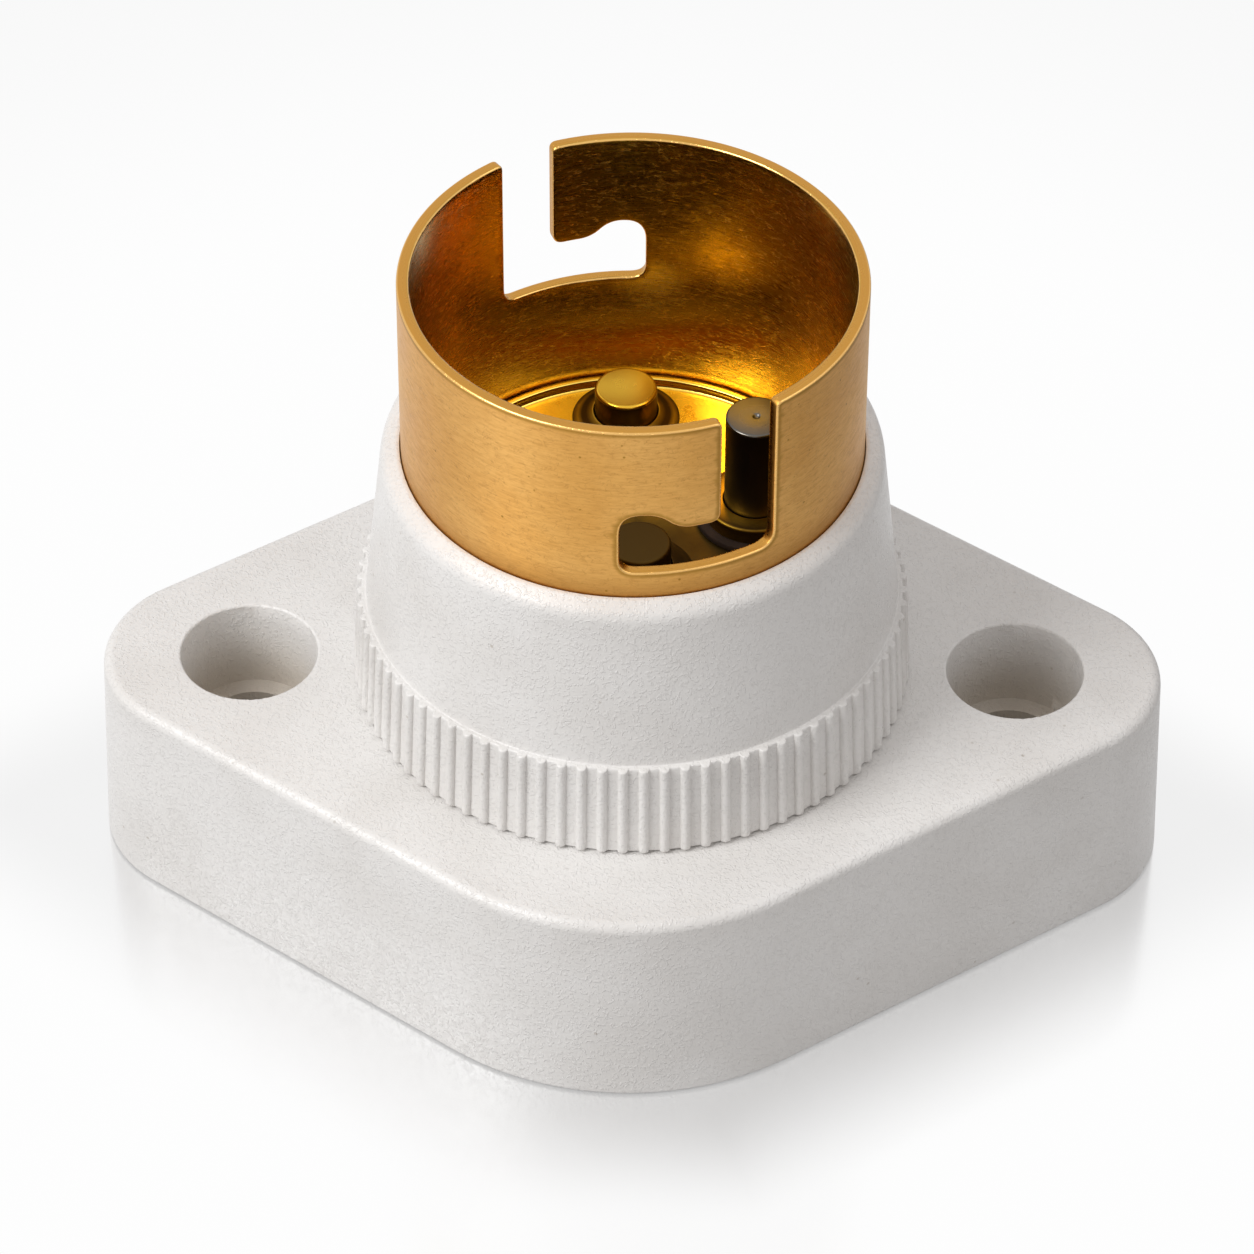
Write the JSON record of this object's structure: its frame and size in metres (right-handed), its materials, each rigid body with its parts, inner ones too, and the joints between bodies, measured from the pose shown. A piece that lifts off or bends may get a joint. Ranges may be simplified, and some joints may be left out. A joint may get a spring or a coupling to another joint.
{
  "type": "lamp holder",
  "caption": "Surface-mounted bayonet lamp holder: lozenge moulded base with counterbored fixing holes, ribbed screw-on collar and slotted brass sleeve over sprung contacts.",
  "frame": {"origin": "middle of the base's underside, where it meets the wall or ceiling", "axes": "+Z out of the base along the sleeve's axis, towards the lamp; +X along the line of the two fixing holes; +Y to the back, away from the picture's camera"},
  "size_m": [0.0572, 0.0406, 0.0385],
  "materials": {
    "moulded_white": "satin, fine leathery grain",
    "sleeve_brass": "brushed, lacquered, fine scratches",
    "floor_brass": "bright drawn",
    "dark_brass": "darkened, worn bright at the edges",
    "contact_metal": "nickel plated, scratched",
    "terminal_brass": "machined",
    "spring_steel": "drawn wire",
    "dark_moulding": "dark thermoset moulding",
    "fibre": "pressed fibre"
  },
  "bodies": {
    "holder": {"base": "moulded_white", "sleeve": "sleeve_brass", "carrier": "dark_moulding", "floor_pan": "floor_brass", "insulating_bush_right": "dark_moulding", "barrel_right": "dark_brass", "contact_spring_right": "spring_steel", "terminal_right": "terminal_brass", "insulating_bush_left": "dark_moulding", "barrel_left": "dark_brass", "contact_spring_left": "spring_steel", "terminal_left": "terminal_brass", "fixing_post_rear": "dark_brass", "post_spacer_rear": "dark_brass", "post_nut_rear": "terminal_brass", "fixing_post_front": "dark_brass", "post_spacer_front": "dark_brass", "post_nut_front": "terminal_brass"},
    "slip_ring_body": {"slip_ring": "fibre"},
    "collar_body": {"collar": "moulded_white"},
    "plunger_right_body": {"plunger_right": "contact_metal"},
    "plunger_left_body": {"plunger_left": "contact_metal"},
    "terminal_screw_right_body": {"terminal_screw_right": "terminal_brass"},
    "terminal_screw_left_body": {"terminal_screw_left": "terminal_brass"}
  },
  "joints": [
    {"name": "collar_lift", "type": "slide", "parent": "holder", "child": "slip_ring_body", "axis": [0, 0, 1], "range_m": [0, 0.00601]},
    {"name": "collar_turn", "type": "hinge", "parent": "slip_ring_body", "child": "collar_body", "pos_m": [0, 0, 0.0123], "axis": [0, 0, 1], "range_deg": [0, 1440]},
    {"name": "plunger_right_press", "type": "slide", "parent": "holder", "child": "plunger_right_body", "axis": [0, 0, -1], "range_m": [0, 0.0044], "stiffness_N_per_m": 700, "springref_m": -0.0035, "deforming": ["contact_spring_right"]},
    {"name": "terminal_screw_right_turn", "type": "hinge", "parent": "holder", "child": "terminal_screw_right_body", "pos_m": [0.00638, 0.00056, 0.006], "axis": [0, 0, -1], "range_deg": [-540, 540]},
    {"name": "plunger_left_press", "type": "slide", "parent": "holder", "child": "plunger_left_body", "axis": [0, 0, -1], "range_m": [0, 0.0044], "stiffness_N_per_m": 700, "springref_m": -0.0035, "deforming": ["contact_spring_left"]},
    {"name": "terminal_screw_left_turn", "type": "hinge", "parent": "holder", "child": "terminal_screw_left_body", "pos_m": [-0.00638, -0.00056, 0.006], "axis": [0, 0, -1], "range_deg": [-540, 540]}
  ],
  "couplings": [
    {"joint": "collar_lift", "follows": "collar_turn", "m_per_rad": 0.00023873}
  ]
}
